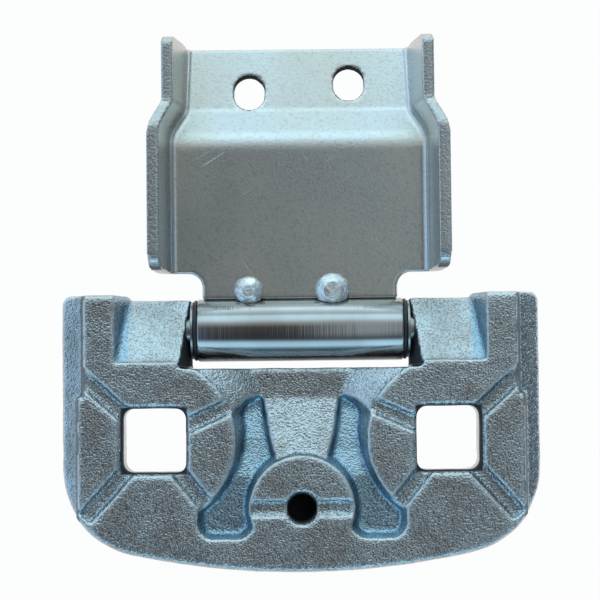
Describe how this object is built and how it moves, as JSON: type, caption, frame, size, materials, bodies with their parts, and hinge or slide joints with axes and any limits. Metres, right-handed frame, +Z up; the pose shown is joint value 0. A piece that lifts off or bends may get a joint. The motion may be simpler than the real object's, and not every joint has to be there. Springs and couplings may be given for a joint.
{
  "type": "van rear door hinge",
  "caption": "D-shaped cast bracket with square bolt holes and grooved pads, pinned to a pressed channel leaf, which lets a van's rear door swing.",
  "frame": {"origin": "on the bracket's back face, midway between the two square bolt holes", "axes": "+X along the pin, +Y from the bracket to the leaf, +Z up from the back face"},
  "size_m": [0.13, 0.1455, 0.0252],
  "materials": {
    "cast_zinc": "shot-blasted casting, zinc plated",
    "sheet_zinc": "satin zinc plate on pressed sheet",
    "turned_zinc": "turned, zinc plated",
    "weld": "rippled weld metal, zinc plated",
    "pin_steel": "ground steel",
    "washer_steel": "bright flat washer",
    "bush": "black flanged plain bearing"
  },
  "bodies": {
    "bracket": {"body_bracket": "cast_zinc", "hinge_pin": "pin_steel", "washer_left": "washer_steel", "washer_right": "washer_steel"},
    "leaf": {"door_leaf": "sheet_zinc", "hinge_barrel": "turned_zinc", "front_weld_beads": "weld", "rear_weld_seam": "weld", "bush_left": "bush", "bush_right": "bush"}
  },
  "joints": [
    {"name": "leaf_swing", "type": "hinge", "parent": "bracket", "child": "leaf", "pos_m": [0, 0.03, 0.0089], "axis": [1, 0, 0], "range_deg": [-120, 100]}
  ]
}
